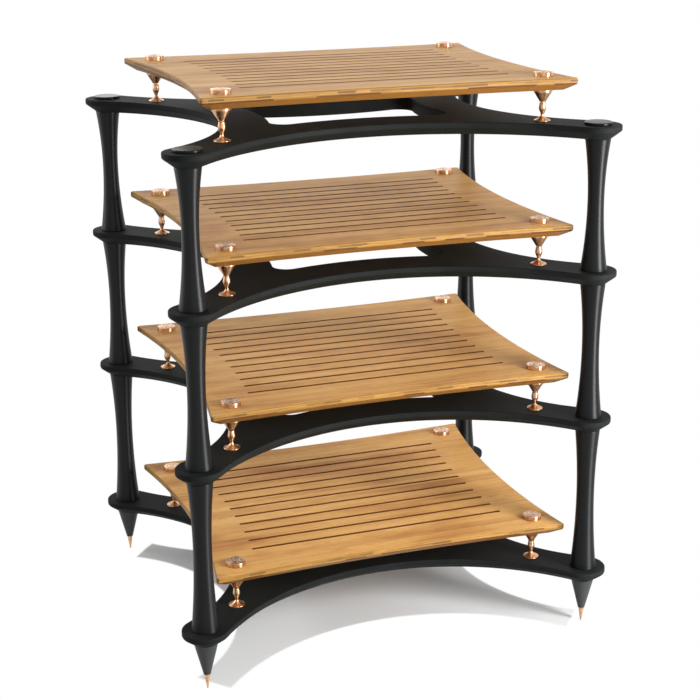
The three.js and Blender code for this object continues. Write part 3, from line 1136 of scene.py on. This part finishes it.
matt_charcoal = make_matt_charcoal()
satin_black = make_satin_black()
gloss_black = make_gloss_black()
cone_grey = make_cone_grey()
rose_bronze = make_rose_bronze()
brushed_bronze = make_brushed_bronze()
shaded_slot_wall = make_shaded_slot_wall()

frame_model = model_frame()
shelf_model = model_shelf()
column_models = {
    tier: model_column(tier, bottom_of(f"frame_{tier + 1}") - top_of(f"frame_{tier}")) for tier in TIERS
}
cap_model = model_cap()
foot_cone_model = model_foot_cone()
floor_spike_model = model_floor_spike()
pedestal_model = model_pedestal()
shelf_foot_model = model_shelf_foot()
disc_model = model_disc()

for level in LEVELS:
    frame_node = f"frame_{level}"
    shelf_node = f"shelf_{level}"
    frame_bottom = bottom_of(frame_node)
    shelf_bottom = bottom_of(shelf_node)
    board = set_in_place(frame_model, f"lacquered_frame_{level}", frame_node, 0, 0, frame_bottom)
    give_finish(board, "matt_charcoal", matt_charcoal)
    shelf = set_in_place(shelf_model, f"bamboo_shelf_{level}", shelf_node, 0, 0, shelf_bottom)
    bamboo_face = make_bamboo_face(level)
    bamboo_edge = make_bamboo_edge(level, shelf_bottom)
    give_finish(shelf, "bamboo", bamboo_face, bamboo_edge, shaded_slot_wall)
    for place in PLACES:
        pedestal_node = f"pedestal_{level}_{place}"
        foot_node = f"shelf_foot_{level}_{place}"
        x, y = axis_of(pedestal_node)
        pedestal = set_in_place(
            pedestal_model, f"turned_pedestal_{level}_{place}", pedestal_node, x, y, top_of(frame_node)
        )
        foot = set_in_place(
            shelf_foot_model, f"turned_shelf_foot_{level}_{place}", foot_node, x, y, bottom_of(foot_node)
        )
        disc_name = f"turned_disc_{level}_{place}"
        disc_bottom = top_of(shelf_node) - DISC_RECESS
        disc = set_in_place(disc_model, disc_name, foot_node, x, y, disc_bottom, replaced=False)
        give_finish(pedestal, "rose_bronze", rose_bronze)
        give_finish(foot, "rose_bronze", rose_bronze)
        give_finish(disc, "rose_bronze", rose_bronze, brushed_bronze)

for place in PLACES:
    for tier in TIERS:
        column_node = f"column_{tier}_{place}"
        x, y = axis_of(column_node)
        column_name = f"turned_column_{tier}_{place}"
        column_bottom = top_of(f"frame_{tier}")
        column = set_in_place(column_models[tier], column_name, column_node, x, y, column_bottom)
        give_finish(column, "satin_black", satin_black)
    top_column = f"column_{TIERS[-1]}_{place}"
    x, y = axis_of(top_column)
    cap_bottom = top_of(f"frame_{LEVELS[-1]}")
    cap = set_in_place(
        cap_model, f"turned_cap_{place}", top_column, x, y, cap_bottom, replaced=False
    )
    give_finish(cap, "satin_black", gloss_black)
    cone_node = f"foot_cone_{place}"
    cone_name = f"turned_foot_cone_{place}"
    cone = set_in_place(foot_cone_model, cone_name, cone_node, x, y, bottom_of(cone_node))
    give_finish(cone, "cone_grey", cone_grey)
    spike_node = f"floor_spike_{place}"
    spike_name = f"turned_spike_{place}"
    spike = set_in_place(floor_spike_model, spike_name, spike_node, x, y, bottom_of(spike_node))
    give_finish(spike, "rose_bronze", rose_bronze)

models = [
    frame_model,
    shelf_model,
    *column_models.values(),
    cap_model,
    foot_cone_model,
    floor_spike_model,
    pedestal_model,
    shelf_foot_model,
    disc_model,
]
for model in models:
    bpy.data.objects.remove(model)


# Floor, light and camera

WHITE = (1, 1, 1, 1)
AMBIENT_LIGHT = 0.46
# The floor's grey is painted shade: within the rack's outline it darkens the floor beyond the rack's real
# shadow
FLOOR_SHADE_GREY = (0.62, 0.62, 0.62, 1)
FLOOR_SIZE = 60
FOOTPRINT_RADIUS = 0.38
SHADOW_FADE = 0.006


def make_floor():
    """A grey floor that keeps the rack's shadow under the rack, darkened further by painted shade, and is
    plain white around it.
    """
    clear_selection()
    bpy.ops.mesh.primitive_plane_add(size=FLOOR_SIZE)
    floor = bpy.context.object
    floor.name = "floor"
    finish = Finish("floor with painted shade")
    finish.set(Base_Color=FLOOR_SHADE_GREY, Roughness=0.9, Specular_IOR_Level=0.0)
    white = finish.add("ShaderNodeEmission", {}, {"Color": WHITE, "Strength": 1.0}, "Emission")
    # Outside the rack's outline the camera sees plain white; inside it sees the grey floor, painted shade
    # over the real shadow
    mask = (1 - inside_footprint(finish).rising(0, SHADOW_FADE)) * finish.seen()
    surface = Value(finish, finish.shader.outputs["BSDF"])
    mixed = finish.add("ShaderNodeMixShader", {}, {0: mask, 1: surface, 2: white}, "Shader")
    finish.fill(finish.tree.nodes["Material Output"].inputs["Surface"], mixed)
    floor.data.materials.append(finish.material)


def inside_footprint(finish):
    """How far a point of the floor lies inside the outline of the frames, less than 0 outside it."""
    place = finish.place()
    length = {"operation": "LENGTH"}
    distance = {"operation": "DISTANCE"}
    inside = FOOTPRINT_RADIUS - finish.add("ShaderNodeVectorMath", length, {0: place}, "Value")
    for x, y, radius in frame_arcs:
        sockets = {0: place, 1: (x, y, 0)}
        past_arc = finish.add("ShaderNodeVectorMath", distance, sockets, "Value") - radius
        inside = inside.maths("MINIMUM", inside, past_arc)
    return inside


make_floor()

studio = Surroundings("studio")
studio.set(Color=WHITE, Strength=AMBIENT_LIGHT + studio.seen() * (1 - AMBIENT_LIGHT))
bpy.context.scene.world = studio.world


def aim(thing, target):
    """Turns a lamp towards a point."""
    direction = Vector(target) - thing.location
    thing.rotation_euler = direction.to_track_quat("-Z", "Y").to_euler()


def add_softbox(name, place, target, width, height, power):
    clear_selection()
    bpy.ops.object.light_add(type="AREA", location=place)
    lamp = bpy.context.object
    lamp.name = name
    lamp.data.shape = "RECTANGLE"
    lamp.data.size = width
    lamp.data.size_y = height
    lamp.data.energy = power
    lamp.visible_camera = False
    aim(lamp, target)


# Each lamp's name, place, target, width, height and power in watts
SOFTBOXES = (
    ("overhead softbox", (0.0, 0.2, 2.8), (0.0, 0.0, 0.0), 2.0, 1.6, 1),
    ("front softbox", (-0.4, -2.8, 1.95), (0.0, 0.0, 0.3), 1.8, 0.9, 17),
    ("left softbox", (-2.2, 1.4, 1.5), (0.0, 0.0, 0.4), 1.6, 0.9, 34),
    ("right softbox", (2.8, 0.3, 1.3), (0.0, 0.0, 0.3), 1.6, 0.9, 13),
    ("back softbox", (0.4, 2.8, 1.6), (0.0, 0.0, 0.5), 2.4, 1.0, 9),
    ("strip light", (0.95, -1.25, 0.62), (0.0, 0.0, 0.55), 0.42, 1.2, 54),
)
for softbox in SOFTBOXES:
    add_softbox(*softbox)

CAMERA_PLACE = (-0.7361, -2.2027, 1.1481)
CAMERA_YAW = 0.34397
CAMERA_PITCH = 0.28083
CAMERA_ROLL = -0.00391
LENS_LENGTH = 79.053
SENSOR_WIDTH = 36.0
LENS_SHIFT_ACROSS = -0.03841
LENS_SHIFT_UP = -0.06551


def add_camera():
    """The photograph's viewpoint: yaw to the right of +Y, pitch downwards, and a trace of roll."""
    forward = Vector(
        (
            math.sin(CAMERA_YAW) * math.cos(CAMERA_PITCH),
            math.cos(CAMERA_YAW) * math.cos(CAMERA_PITCH),
            -math.sin(CAMERA_PITCH),
        )
    )
    level = Vector((math.cos(CAMERA_YAW), -math.sin(CAMERA_YAW), 0))
    upright = level.cross(forward)
    right = math.cos(CAMERA_ROLL) * level + math.sin(CAMERA_ROLL) * upright
    up = math.cos(CAMERA_ROLL) * upright - math.sin(CAMERA_ROLL) * level
    clear_selection()
    bpy.ops.object.camera_add()
    camera = bpy.context.object
    camera.data.lens = LENS_LENGTH
    camera.data.sensor_width = SENSOR_WIDTH
    camera.data.shift_x = LENS_SHIFT_ACROSS
    camera.data.shift_y = LENS_SHIFT_UP
    direction = Matrix((right, up, -forward)).transposed().to_4x4()
    camera.matrix_world = Matrix.Translation(CAMERA_PLACE) @ direction
    bpy.context.scene.camera = camera


add_camera()
bpy.context.scene.view_settings.view_transform = "Standard"
